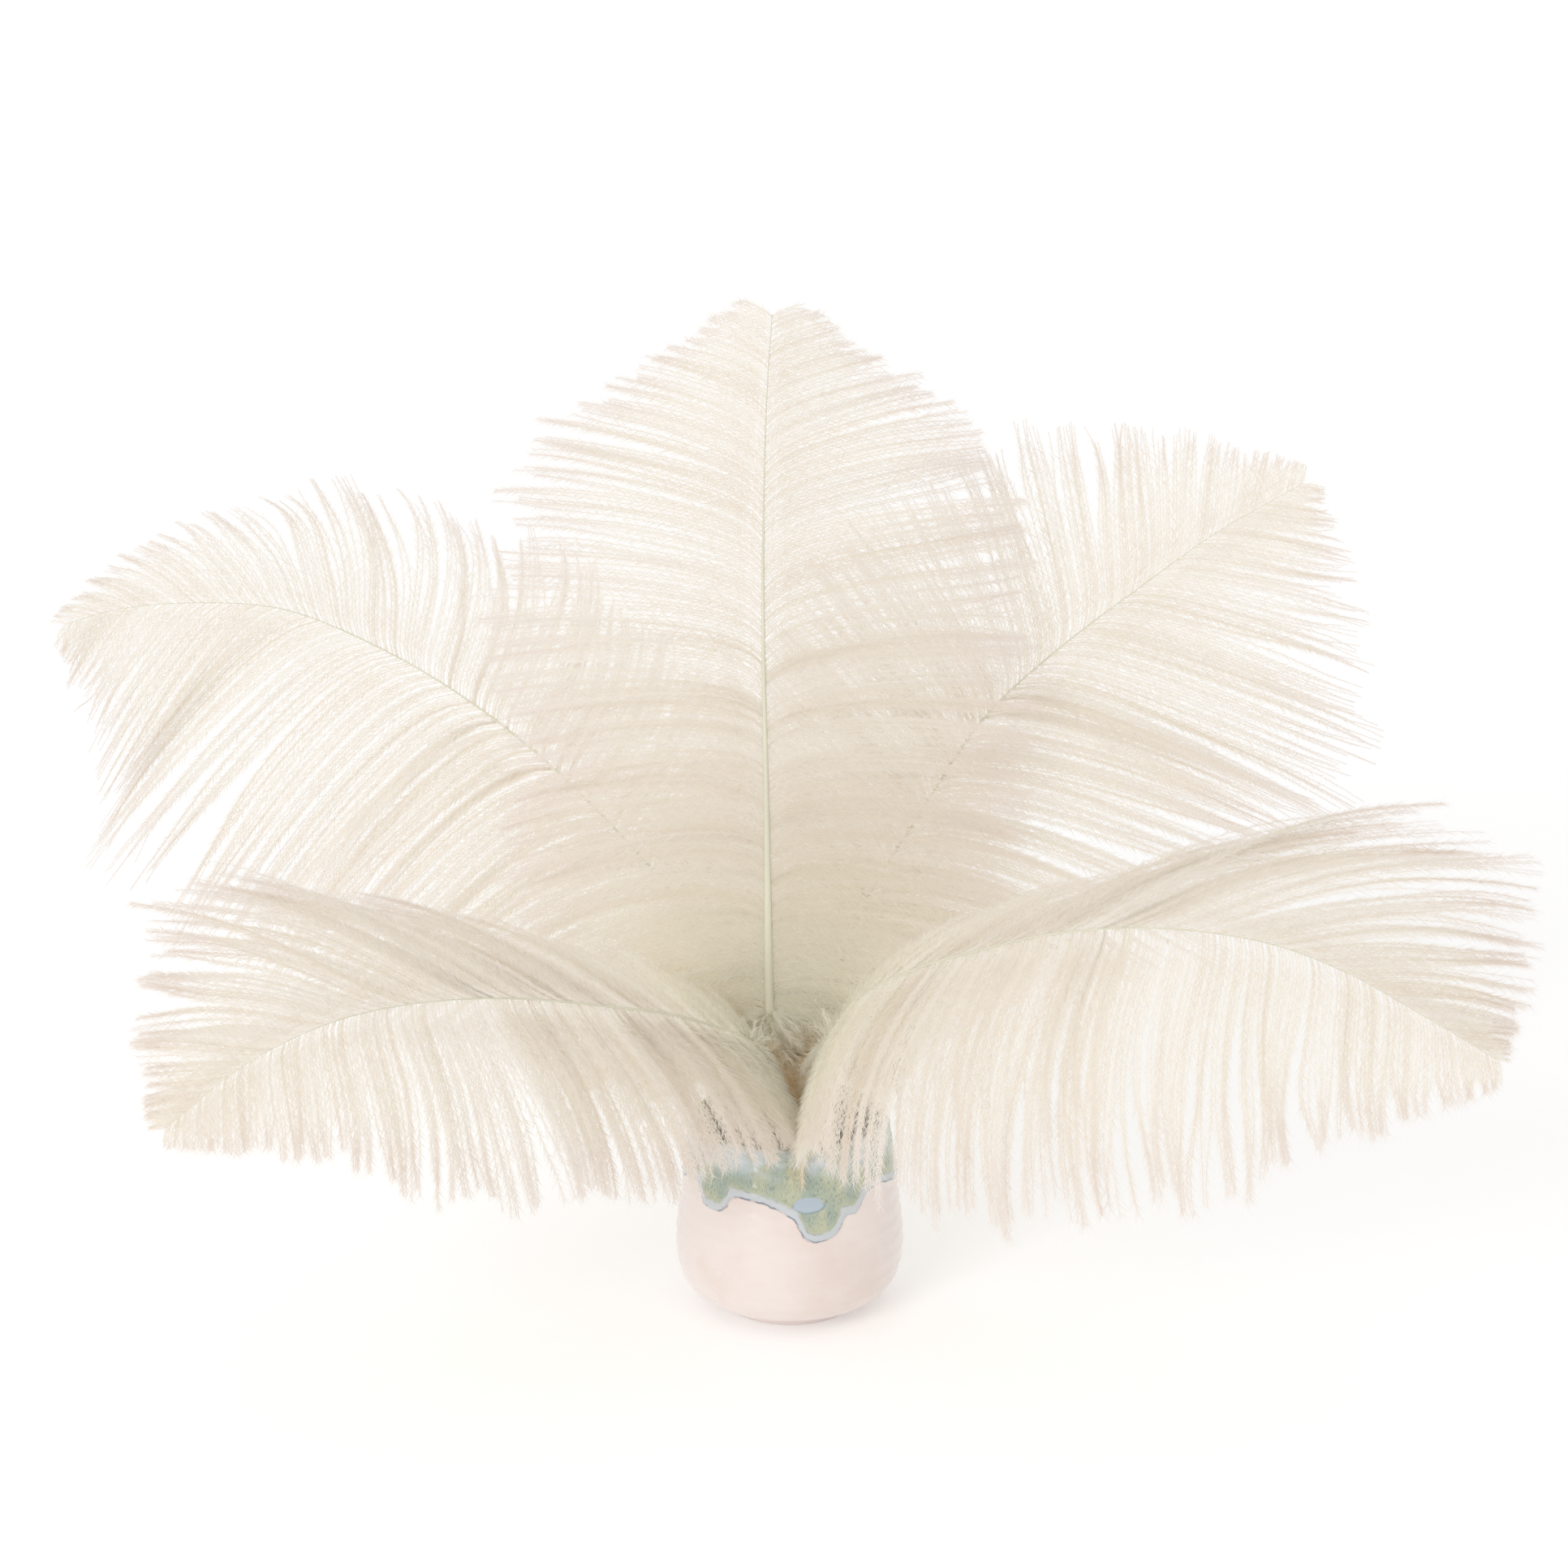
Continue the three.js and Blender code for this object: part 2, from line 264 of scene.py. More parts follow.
def vase_profile():
    """Radius and height, in mm, from the foot's centre round to the middle of the inner floor."""
    foot = [(0, 0), (FOOT_RADIUS - 8, 0), (FOOT_RADIUS - 1.2, 0), (FOOT_RADIUS - 0.3, 0.4)]
    foot += [(FOOT_RADIUS, 1.2), (FOOT_RADIUS + 0.1, 2.2), (FOOT_RADIUS - 0.1, 2.9)]
    lip = []
    for angle in np.linspace(0, math.pi, LIP_STEPS):
        lip.append((RIM_RADIUS - WALL / 2 * (1 - math.cos(angle)),
                    VASE_HEIGHT - WALL / 2 * (1 - math.sin(angle))))
    inner = [(r - WALL, max(z, FLOOR_THICKNESS + 2.5)) for r, z in BELLY[:1:-1]][1:]
    inner += [(FOOT_RADIUS + 4, FLOOR_THICKNESS), (FOOT_RADIUS - 8, FLOOR_THICKNESS - 0.2)]
    inside = smooth_path([lip[-1], *inner], PROFILE_STEPS // 2)
    middle = [(0, FLOOR_THICKNESS - 0.2)]
    return np.vstack([foot, smooth_path(BELLY, PROFILE_STEPS), lip, inside[1:], middle])


profile = vase_profile()
print("profile has", len(profile), "points, and its widest radius is", round(profile[:, 0].max(), 1), "mm")

# %% [markdown]
# The edge of the second glaze is a height for each direction round the vase. It starts from a gentle
# wave below the rim, and each drip pulls it down. A drip is four numbers: the direction of its middle
# in degrees from the front, its length in mm, half its width in degrees, and a power, where 2 makes a
# soft point and 4 or more a blunt drip.

# %% Glaze drips
GLAZE_HEIGHT = 53.5
DRIPS = [
    (-45, 6.5, 11, 5), (15, 11, 22, 2), (16.5, 5.5, 12.5, 6), (37, 4, 6, 2), (84, 4, 16, 2),
    (112, 15, 12, 4), (150, 7, 18, 2), (178, 17, 14, 4), (-152, 9, 12, 2), (-112, 13, 15, 4),
    (-84, 5, 10, 2),
]
GLAZE_THICKNESS = 0.55
EDGE_WIDTH = 1.6
ROLL_HEIGHT = 0.35
ROLL_PLACE = 0.9
ROLL_WIDTH = 0.8
THROWING_RING = 0.11
THROWING_PITCH = 5.5
RINGS_START = 4.0
LIP_DEPTH = 3.0
SPIN_STEPS = 208


def glaze_edge(degrees):
    """The height, in mm, at which the second glaze stops in a direction round the vase."""
    height = GLAZE_HEIGHT + 1.2 * math.sin(math.radians(3 * degrees + 40))
    for middle, length, half_width, power in DRIPS:
        away = (degrees - middle + 180) % 360 - 180
        height -= length * math.exp(-abs(away / half_width) ** power)
    return height


def glaze_depth(place):
    """How far a point, in mm, lies inside the edge of the second glaze. It is negative outside it."""
    degrees = math.degrees(math.atan2(place.x, -place.y))
    radius = max(math.hypot(place.x, place.y), 1.0)
    slope = (glaze_edge(degrees + 1) - glaze_edge(degrees - 1)) / math.radians(2) / radius
    return (place.z - glaze_edge(degrees)) / math.hypot(1, slope)


# %% Spin the vase
def turn_vase():
    """The turned mesh, with its glaze raised and the depth of the glaze kept at each point."""
    shape = bmesh.new()
    points = [shape.verts.new((r, 0, z)) for r, z in profile]
    line = [shape.edges.new(pair) for pair in zip(points, points[1:])]
    bmesh.ops.spin(shape, geom=points + line, cent=(0, 0, 0), axis=(0, 0, 1), angle=2 * math.pi,
                   steps=SPIN_STEPS, use_merge=True)
    bmesh.ops.remove_doubles(shape, verts=shape.verts, dist=1e-4)
    bmesh.ops.recalc_face_normals(shape, faces=shape.faces)
    shape.normal_update()
    depth_layer = shape.verts.layers.float.new("glaze")
    rise = {}
    for point in shape.verts:
        depth = glaze_depth(point.co)
        point[depth_layer] = depth
        outside = point.co.xy.length > RIM_RADIUS - WALL or point.co.z > VASE_HEIGHT - WALL
        outward = point.normal.xy.dot(point.co.xy) > -0.2 * point.co.xy.length
        body = THROWING_RING * math.sin(2 * math.pi * point.co.z / THROWING_PITCH)
        inside_edge = min(max(depth / EDGE_WIDTH + 0.4, 0), 1)
        roll = ROLL_HEIGHT * math.exp(-((depth - ROLL_PLACE) / ROLL_WIDTH) ** 2)
        glaze = GLAZE_THICKNESS * inside_edge ** 2 * (3 - 2 * inside_edge) + roll
        raised = outside and outward and point.co.z > RINGS_START
        rise[point] = body + glaze if raised else 0
    for point, height in rise.items():
        on_lip = point.co.z > VASE_HEIGHT - LIP_DEPTH
        point.co += point.normal * (height - GLAZE_THICKNESS if on_lip else height)
    for face in shape.faces:
        face.smooth = True
    bmesh.ops.scale(shape, vec=(MM, MM, MM), verts=shape.verts)
    return mesh_of(shape, "vase_body")


vase = object_of(turn_vase(), "vase_body")
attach(vase, "root")
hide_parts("vase")
print("vase has", len(vase.data.polygons), "faces")

# %% [markdown]
# ## The vase's two glazes
#
# The body glaze is a pinkish cream that breaks slightly warmer where it is thin. The second glaze is
# mottled: a grey-green ground full of short dark streaks, which ran down while it was molten. It turns
# yellow-green near its edge, and the rolled edge itself is a pale lavender. In a few hollows it pooled
# and went blue. All of this follows the `glaze` depth that the mesh keeps, so colour and relief agree.

# %% Glaze finish
CREAM = colour(231, 220, 215)
CREAM_THIN = colour(226, 210, 202)
FOOT_CLAY = colour(234, 220, 215)
GREEN = colour(160, 172, 158)
DARK_STREAK = colour(116, 136, 130)
YELLOW_GREEN = colour(184, 187, 160)
PALE_BLUE = colour(200, 210, 216)
LAVENDER = colour(198, 202, 205)
# Dark grey of the broken line inside the rolled edge, and of the painted shadow just outside it.
EDGE_LINE_AND_SHADOW = colour(118, 126, 138)
POOL_BLUE = colour(174, 186, 198)
POOL_RIM = colour(134, 154, 156)
POOLS = [(10.0, 51.4, 5.6), (178.0, 49.0, 4.6), (-112.0, 52.0, 4.0)]


def pool_reach(finish, degrees, height):
    """How far a point is from a pool's middle, in mm, with the height counted double."""
    turn = math.radians(degrees)
    wall = np.interp(height, [z for _, z in BELLY], [r for r, _ in BELLY])
    middle = (wall * MM * math.sin(turn), -wall * MM * math.cos(turn), height * MM)
    where = finish.node("ShaderNodeTexCoord", output="Object")
    away = finish.node("ShaderNodeVectorMath", {"operation": "SUBTRACT"}, {0: where, 1: middle})
    flat = finish.node("ShaderNodeVectorMath", {"operation": "MULTIPLY"}, {0: away, 1: (1000, 1000, 2000)})
    return finish.node("ShaderNodeVectorMath", {"operation": "LENGTH"}, {0: flat}, output="Value")


def make_glaze():
    finish = Finish("glazed_stoneware")
    depth = finish.attribute("glaze") + finish.noise(380, 3) * 1.4 - 0.7
    height = finish.node("ShaderNodeSeparateXYZ", inputs={0: finish.place()}, output="Z") * 1000
    body = finish.mix(finish.noise(34, 4).ramp(0.46, 0.7), CREAM, CREAM_THIN)
    body = finish.mix(height.ramp(3.6, 2.6), body, FOOT_CLAY)

    runs = finish.noise(150, 2, stretch=(1, 1, 0.35))
    specks = finish.noise(1900, 2, stretch=(1, 1, 0.4)).ramp(0.5, 0.7)
    second = finish.mix(runs.ramp(0.38, 0.62), GREEN, YELLOW_GREEN)
    second = finish.mix(depth.ramp(6.0, 2.8) * 0.6, second, YELLOW_GREEN)
    second = finish.mix(specks * depth.ramp(2.4, 4.5) * 0.7, second, DARK_STREAK)
    second = finish.mix(height.ramp(58, 66) * finish.noise(120, 3).ramp(0.36, 0.6), second, PALE_BLUE)
    for degrees, middle, radius in POOLS:
        reach = pool_reach(finish, degrees, middle) + finish.noise(260, 2) * 1.6 - 0.8
        rim = reach.ramp(radius + 0.9, radius + 0.2) * height.ramp(middle + 1.2, middle - 0.6)
        second = finish.mix(rim, second, POOL_RIM)
        second = finish.mix(reach.ramp(radius + 0.3, radius - 1.1), second, POOL_BLUE)
    second = finish.mix(depth.ramp(3.3, 2.0), second, LAVENDER)
    broken = finish.noise(240, 3).ramp(0.42, 0.6)
    # A broken line of the same dark grey runs along the inner side of the rolled edge.
    second = finish.mix(depth.ramp(2.1, 2.4) * depth.ramp(3.0, 2.6) * broken * 0.5, second, EDGE_LINE_AND_SHADOW)

    surface = finish.mix(depth.ramp(-0.15, 0.25), body, second)
    # Painted shadow: a thin broken dark line just outside the second glaze's edge, where the raised rolled
    # edge casts its shade.
    painted_edge_shadow = depth.ramp(-0.6, -0.1) * depth.ramp(0.6, 0.15)
    surface = finish.mix(painted_edge_shadow * (broken * 0.7 + 0.2), surface, EDGE_LINE_AND_SHADOW)
    pits = finish.node("ShaderNodeBump", inputs={
        "Strength": 0.12, "Distance": 0.3 * MM, "Height": finish.noise(300, 3)})
    return finish.shade(finish.node("ShaderNodeBsdfPrincipled", inputs={
        "Base Color": surface, "Roughness": 0.2 + 0.1 * finish.noise(60, 2), "Normal": pits,
        "Specular IOR Level": 0.5, "Coat Weight": 0.35, "Coat Roughness": 0.06}))


vase.data.materials.append(make_glaze())
print("glaze has", len(vase.data.materials[0].node_tree.nodes), "nodes")

# %% [markdown]
# ## How a plume grows
#
# Each plume is told by a few numbers: where its quill runs, how stout its `shaft` is between the
# barbs, which way its face looks, and how its barbs grow on the left and the right. A list of three
# gives the values at the base, the middle and the tip of the vane.
#
# The angles are in degrees: `open` is how far a barb stands off the quill, `sweep` bends it further
# along its length, `camber` tilts the vane back from the face, and `curl` bends each barb backwards.
# `sag` is the pull of its weight. The vane widens over the share `rise` of its length and narrows over
# the share `fall`.
#
# The last six tell how tidy the barbs are. Up to the share `calm` of the vane they lie combed and
# close; beyond it they go their own ways by `wave`. From the share `loose` of its length on, a barb
# leans into its neighbours: `locks` is how firmly it does, `part` is how far the ends part again,
# and `fine` is the share of the barb where its barbules turn short.

# %% Plume values
PLUMES = {
    "feather_center": {
        "quill": [(-3, 2, 7), (-6, 1, 71), (-7, 2, 103), (-8, 6, 180), (-9, 12, 236), (-9, 20, 276),
                  (-8, 29, 316), (-6, 41, 345)],
        "vane_start": 80,
        "shaft": 1.0,
        "face": [(0, -1, 0.1), (0, -1, 0.1), (0, -1, 0.5)],
        "left": {"length": (52, 94, 11), "rise": 0.28, "fall": 0.32, "open": (86, 81, 60),
                 "sweep": (0, 0, 0), "camber": (0, 2, 8), "curl": (20, 16, 10), "sag": (0.9, 0.35, 0.2),
                 "calm": 0.45, "wave": 0.65, "locks": 0.08, "loose": 0.74, "part": 0.1, "fine": 1.0},
        "right": {"length": (52, 93, 11), "rise": 0.28, "fall": 0.32, "open": (86, 81, 60),
                  "sweep": (0, 0, 0), "camber": (0, 2, 8), "curl": (20, 16, 10), "sag": (0.9, 0.25, 0.2),
                  "calm": 0.45, "wave": 0.65, "locks": 0.08, "loose": 0.74, "part": 0.1, "fine": 1.0},
    },
    "feather_upper_left": {
        "quill": [(8, 15, 7), (-8, 22, 67), (-19, 31, 97), (-37, 41, 129), (-60, 48, 157), (-92, 55, 187),
                  (-121, 60, 208), (-150, 63, 224), (-178, 64, 235), (-206, 62, 238), (-234, 58, 237),
                  (-253, 52, 233)],
        "vane_start": 80,
        "shaft": 0.55,
        "face": [(0, -1, 0.2), (0, -1, 0.2), (0, -1, 0.4)],
        "left": {"length": (70, 133, 8), "rise": 0.28, "fall": 0.38, "open": (74, 76, 40),
                 "sweep": (22, 20, 4), "camber": (5, 5, 5), "curl": (15, 10, 10), "sag": (0.1, 0.05, 0),
                 "calm": 0.35, "wave": 0.9, "locks": 0.2, "loose": 0.5, "part": 0.8, "fine": 0.74},
        "right": {"length": (78, 71, 6), "rise": 0.25, "fall": 0.4, "open": (86, 96, 46),
                  "sweep": (0, -54, -34), "camber": (16, 24, 26), "curl": (14, 18, 15), "sag": (0, 0, 0),
                  "calm": 0.5, "wave": 1.6, "locks": 0.18, "loose": 0.62, "part": 0.2, "fine": 0.85},
    },
    "feather_upper_right": {
        "quill": [(-8, 8, 7), (7, 12, 69), (13, 17, 100), (25, 25, 136), (44, 33, 167), (67, 41, 201),
                  (92, 47, 224), (121, 51, 246), (148, 52, 266), (177, 50, 284)],
        "vane_start": 80,
        "shaft": 0.55,
        "face": [(0, -1, 0.2), (0, -1, 0.2), (0, -1, 0.4)],
        "left": {"length": (76, 82, 6), "rise": 0.25, "fall": 0.42, "open": (72, 72, 48),
                 "sweep": (0, 0, 0), "camber": (-2, 8, 16), "curl": (8, 12, 10), "sag": (0, 0, 0),
                 "calm": 0.5, "wave": 1.1, "locks": 0.12, "loose": 0.66, "part": 0.5, "fine": 0.82},
        "right": {"length": (36, 129, 7), "rise": 0.34, "fall": 0.46, "open": (78, 66, 36),
                  "sweep": (26, 8, -2), "camber": (5, 5, 5), "curl": (10, 10, 10), "sag": (0.2, 0, 0),
                  "calm": 0.35, "wave": 0.9, "locks": 0.2, "loose": 0.5, "part": 0.8, "fine": 0.74},
    },
    "feather_lower_left": {
        "quill": [(6, -6, 7), (-4, -12, 72), (-11, -20, 102), (-34, -40, 121), (-60, -62, 134),
                  (-93, -86, 146), (-123, -105, 151), (-148, -118, 149), (-173, -128, 139),
                  (-197, -135, 121)],
        "vane_start": 84,
        "shaft": 0.45,
        "face": [(0.5, 0.4, 0.8), (-0.2, -0.4, 0.9), (-0.3, -0.6, 0.7)],
        "left": {"length": (38, 74, 6), "rise": 0.42, "fall": 0.45, "open": (146, 132, 40),
                 "sweep": (0, -10, 0), "camber": (15, 30, 20), "curl": (45, 45, 20), "sag": (0.3, 0.6, 0.5),
                 "calm": 0.65, "wave": 1.2, "locks": 0.12, "loose": 0.66, "part": 0.3, "fine": 1.0},
        "right": {"length": (30, 106, 6), "rise": 0.5, "fall": 0.46, "open": (70, 63, 40),
                  "sweep": (-5, -22, 0), "camber": (-24, -10, -5), "curl": (5, 8, 10),
                  "sag": (0.3, 0.38, 0.1),
                  "calm": 0.5, "wave": 1.0, "locks": 0.2, "loose": 0.6, "part": 0.25, "fine": 1.0},
    },
    "feather_lower_right": {
        "quill": [(-6, -13, 7), (6, -17, 72), (12, -22, 103), (24, -30, 125), (43, -42, 140),
                  (61, -56, 151), (86, -74, 164), (117, -91, 172), (149, -106, 173), (174, -116, 167),
                  (199, -124, 155), (223, -130, 142)],
        "vane_start": 84,
        "shaft": 0.45,
        "face": [(-0.5, 0.4, 0.8), (0.2, -0.4, 0.9), (0.3, -0.6, 0.7)],
        "left": {"length": (30, 132, 4), "rise": 0.55, "fall": 0.5, "open": (58, 53, 33),
                 "sweep": (-8, -26, 0), "camber": (-20, -6, 0), "curl": (5, 10, 10),
                 "sag": (0.3, 0.38, 0.05),
                 "calm": 0.45, "wave": 1.3, "locks": 0.26, "loose": 0.52, "part": 0.2, "fine": 1.0},
        "right": {"length": (39, 98, 8), "rise": 0.45, "fall": 0.42, "open": (150, 129, 50),
                  "sweep": (-20, -44, -15), "camber": (15, 30, 20), "curl": (45, 45, 20),
                  "sag": (0.3, 0.7, 0.5),
                  "calm": 0.6, "wave": 1.7, "locks": 0.25, "loose": 0.6, "part": 0.3, "fine": 1.1},
    },
}
print("plumes:", ", ".join(PLUMES))

# %% [markdown]
# ## The quill
#
# A quill is a tapering rod, and Blender's curves make those directly: each point of the curve has a
# radius, and the bevel turns the line into a closed tube. The plain calamus at the cut end is the
# thickest part; the shaft thins to a hair at the tip.

# %% Quill curve
QUILL_STEPS = 12
NIB_RADIUS = 1.1
STEM_RADIUS = 2.1
VANE_RADIUS = 1.8
TIP_RADIUS = 0.14
NIB_LENGTH = 7.0
STEM_TAPER = 25.0
TAPER = 1.5


def unit(vectors):
    """The vectors with their lengths made 1."""
    return vectors / np.linalg.norm(vectors, axis=-1, keepdims=True)


def smoothstep(low, high, x):
    """0 below low, 1 above high, and smooth between them. Low may be the larger of the two."""
    t = np.clip((x - low) / (high - low), 0, 1)
    return t * t * (3 - 2 * t)


def along(values, v):
    """Between the values at the base, the middle and the tip, at the shares v of a vane."""
    values = np.array(values, float)
    if values.ndim == 1:
        return np.interp(v, (0, 0.5, 1), values)
    return np.stack([np.interp(v, (0, 0.5, 1), column) for column in values.T], axis=-1)


class Quill:
    """A plume's quill: its path, and the frame that barbs grow from."""

    def __init__(self, plume):
        self.plume = plume
        self.path = smooth_path(plume["quill"], QUILL_STEPS)
        steps = np.linalg.norm(np.diff(self.path, axis=0), axis=1)
        self.reach = np.concatenate([[0], np.cumsum(steps)])
        self.length = self.reach[-1]
        self.heading = unit(np.gradient(self.path, self.reach, axis=0))

    def at(self, reach):
        """Position and heading at distances along the quill, in mm."""
        place = [np.interp(reach, self.reach, column) for column in self.path.T]
        heading = [np.interp(reach, self.reach, column) for column in self.heading.T]
        return np.stack(place, axis=-1), unit(np.stack(heading, axis=-1))

    def frame(self, v):
        """Position, heading, face and right-hand side at the shares v of the vane."""
        start = self.plume["vane_start"]
        place, heading = self.at(start + v * (self.length - start))
        face = along(self.plume["face"], v)
        face = unit(face - (face * heading).sum(-1, keepdims=True) * heading)
        return place, heading, face, np.cross(heading, face)

    def radius(self, reach):
        start = self.plume["vane_start"]
        left = np.clip((self.length - reach) / (self.length - start), 0, 1)
        shaft = TIP_RADIUS + (VANE_RADIUS - TIP_RADIUS) * left ** TAPER
        slim = 1 - (1 - self.plume["shaft"]) * smoothstep(start - 5, start + 30, reach)
        stem_places = (0, NIB_LENGTH, start - STEM_TAPER, start)
        stem = np.interp(reach, stem_places, (NIB_RADIUS, STEM_RADIUS, STEM_RADIUS, VANE_RADIUS))
        return np.where(reach < start, stem, shaft) * slim


def grow_quill(name, quill):
    """The quill as a closed tapering tube."""
    curve = bpy.data.curves.new(name, "CURVE")
    curve.dimensions = "3D"
    curve.bevel_depth = MM
    curve.bevel_resolution = 3
    curve.use_fill_caps = True
    spline = curve.splines.new("POLY")
    spline.points.add(len(quill.path) - 1)
    for point, place, reach in zip(spline.points, quill.path * MM, quill.reach):
        point.co = (*place, 1)
        point.radius = quill.radius(reach)
    maker = object_of(curve, name + "_curve")
    mesh = bpy.data.meshes.new_from_object(maker.evaluated_get(bpy.context.evaluated_depsgraph_get()))
    bpy.data.objects.remove(maker)
    for face in mesh.polygons:
        face.use_smooth = True
    return mesh


# %% [markdown]
# ## A barb, and how barbs gather
#
# A barb leaves the quill at a small angle, opens outwards, and then curls and sags. Its path is
# walked in short steps, for all the barbs of a vane at once. Free barbs don't stay evenly spread: the
# barbules of neighbours catch each other, so the barbs lean together into strands, and the strands
# into locks, with gaps between them. Near the quill they are still evenly spaced. So each barb is
# drawn, further out more than near the quill, towards the middle of its strand, and each strand
# towards the middle of its lock. Every lock also goes its own way a little.
#
# One even layer would look like a comb, and light would show between its teeth. So each side has two
# more sets of barbs: some under the first ones where the plume is thickest, and the short down at the
# foot of the vane. All three walk the same kind of path, and differ only in how freely they vary.

# %% Barb paths
BARBS = 236
UNDER_BARBS = 100
DOWN_BARBS = 160
PATH_STEPS = 16
ROOT_OPENING = 0.45
WIDEST_CLOSED = 80.0
OPENS_WITHIN = 0.1
LOCK_SIZE = 8.0
STRAND_SIZE = 2.8
CALM_FADE = 0.3
STRAND_HOLD = 0.62
STRAND_FADE = 0.34
ENDS_FROM = 0.85
FULL_SWAY_LENGTH = 70.0
DOWN = np.array([0.0, 0.0, -1.0])


def barb_length(vane, v):
    """How long the barbs at the shares v of a vane are, in mm."""
    base, middle, tip = vane["length"]
    left = np.clip((1 - v) / vane["fall"], 0, 1)
    held = 1.12 * left - 0.12 * left ** 8
    rising = base + (middle - base) * smoothstep(0, vane["rise"], v)
    return rising * (tip / middle + (1 - tip / middle) * held)


def walk_barbs(quill, hand, v, change):
    """Paths and the vane's normals along them, for barbs at v. Change holds each barb's own ways."""
    vane = quill.plume[hand]
    sign = -1 if hand == "left" else 1
    place, heading, face, side = quill.frame(v)
    step = (barb_length(vane, v) * change["length"] / PATH_STEPS)[:, None]
    opening = np.radians(along(vane["open"], v))
    closed = (1 - ROOT_OPENING) * np.minimum(opening, math.radians(WIDEST_CLOSED))
    camber = along(vane["camber"], v) + change["camber"]
    curl = along(vane["curl"], v) + change["curl"]
    sweep = along(vane["sweep"], v) + change["sweep"]
    paths, normals = [place], []
    for i in range(PATH_STEPS):
        t = (i + 0.5) / PATH_STEPS
        angle = (opening - closed * math.exp(-t / OPENS_WITHIN) + np.radians(sweep) * t)[:, None]
        bend = np.radians(camber + curl * t)[:, None]
        outward = sign * side * np.cos(bend) - face * np.sin(bend)
        ahead = heading * np.cos(angle) + outward * np.sin(angle)
        ahead = unit(ahead + DOWN * ((along(vane["sag"], v) + change["sag"]) * t)[:, None])
        paths.append(paths[-1] + ahead * step)
        normals.append(face * np.cos(bend) + sign * side * np.sin(bend))
    normals.append(normals[-1])
    return np.stack(paths, axis=1), np.stack(normals, axis=1)


def group_barbs(random, count, size):
    """The number of the group that each of count barbs is in. The groups' sizes vary round size."""
    marks = [0.0]
    while marks[-1] < count:
        marks.append(marks[-1] + size * random.uniform(0.45, 1.6))
    return np.searchsorted(marks, np.arange(count) + 0.5) - 1


def spread(random, groups, amount):
    """One random amount for each group, handed to all its barbs."""
    return random.normal(0, amount, groups.max() + 1)[groups]


def gather(paths, groups, strength):
    """Draws each barb towards the mean of its group. Strength varies along and between barbs."""
    drawn = paths.copy()
    for group in range(groups.max() + 1):
        members = groups == group
        leader = paths[members].mean(axis=0, keepdims=True)
        drawn[members] += (leader - paths[members]) * strength[members][..., None]
    return drawn


def barb_reach(paths):
    """How long each barb's path is, in mm."""
    return np.linalg.norm(np.diff(paths, axis=1), axis=2).sum(axis=1)


def sway(random, paths, normals, groups, amount, free=1.0):
    """Bends each group in a slow wave of its own, which grows outwards. Short barbs bend less."""
    t = np.linspace(0, 1, paths.shape[1])
    count = groups.max() + 1
    phase = random.uniform(0, 2 * math.pi, (count, 2, 1))
    turns = random.uniform(0.4, 1.2, (count, 2, 1))
    height = random.normal(0, amount, (count, 2, 1))
    share = (free * np.minimum(barb_reach(paths) / FULL_SWAY_LENGTH, 1) ** 1.5)[:, None, None]
    wave = (height * (np.sin(2 * math.pi * turns * t + phase) - np.sin(phase)) * t ** 2)[groups] * share
    across = unit(np.cross(np.gradient(paths, axis=1), normals))
    return paths + across * wave[:, 0, :, None] + normals * (0.5 * wave[:, 1, :, None])


def grow_barbs(random, quill, hand):
    """The places, tones, paths and normals of one side's barbs, gathered into strands and locks."""
    vane = quill.plume[hand]
    v = (np.arange(BARBS) + random.uniform(0.2, 0.8, BARBS)) / BARBS
    locks = group_barbs(random, BARBS, LOCK_SIZE)
    strands = group_barbs(random, BARBS, STRAND_SIZE)
    length = 1 + spread(random, locks, 0.03) + spread(random, strands, 0.04)
    length += random.normal(0, 0.01 + 0.03 * vane["part"], BARBS)
    firm = smoothstep(vane["calm"] - CALM_FADE, vane["calm"], v)
    free = 0.2 + 0.8 * firm
    wave = vane["wave"]
    sweep = free * wave * (spread(random, locks, 1.4) + spread(random, strands, 1.4))
    change = {
        "length": np.clip(length, 0.8, 1.08),
        "sweep": sweep + random.normal(0, 1.3, BARBS),
        "camber": spread(random, locks, 1.5),
        "curl": free * (spread(random, locks, 4.0) + spread(random, strands, 5.0)),
        "sag": free * (spread(random, locks, 0.03) + spread(random, strands, 0.02)),
    }
    paths, normals = walk_barbs(quill, hand, v, change)
    t = np.linspace(0, 1, PATH_STEPS + 1)
    loose = vane["loose"]
    into_locks = vane["locks"] * smoothstep(loose, 1.0, t)
    into_strands = STRAND_HOLD * smoothstep(loose, loose + STRAND_FADE, t)
    into_strands *= 1 - vane["part"] * smoothstep(ENDS_FROM, 1.0, t)
    paths = gather(paths, locks, firm[:, None] * into_locks)
    paths = gather(paths, strands, firm[:, None] * into_strands)
    paths = sway(random, paths, normals, locks, 1.5 * wave, free)
    paths = sway(random, paths, normals, strands, 0.9 * wave, free)
    paths = sway(random, paths, normals, np.arange(BARBS), 0.6 * wave, free)
    tone = 0.5 + spread(random, strands, 0.3) + random.normal(0, 0.16, BARBS)
    return v, np.clip(tone, 0, 1), paths, normals


def grow_down(random, quill, hand):
    """Short loose barbs in all directions where the vane begins. Some start just below it."""
    v = random.uniform(-0.09, 0.08, DOWN_BARBS)
    change = {
        "length": random.uniform(0.14, 0.3, DOWN_BARBS),
        "sweep": random.normal(0, 10, DOWN_BARBS),
        "camber": random.normal(-30, 30, DOWN_BARBS),
        "curl": random.normal(0, 10, DOWN_BARBS),
        "sag": random.uniform(0.1, 0.6, DOWN_BARBS),
    }
    paths, normals = walk_barbs(quill, hand, v, change)
    tone = random.uniform(0, 1, DOWN_BARBS)
    return v, tone, sway(random, paths, normals, np.arange(DOWN_BARBS), 0.8), normals


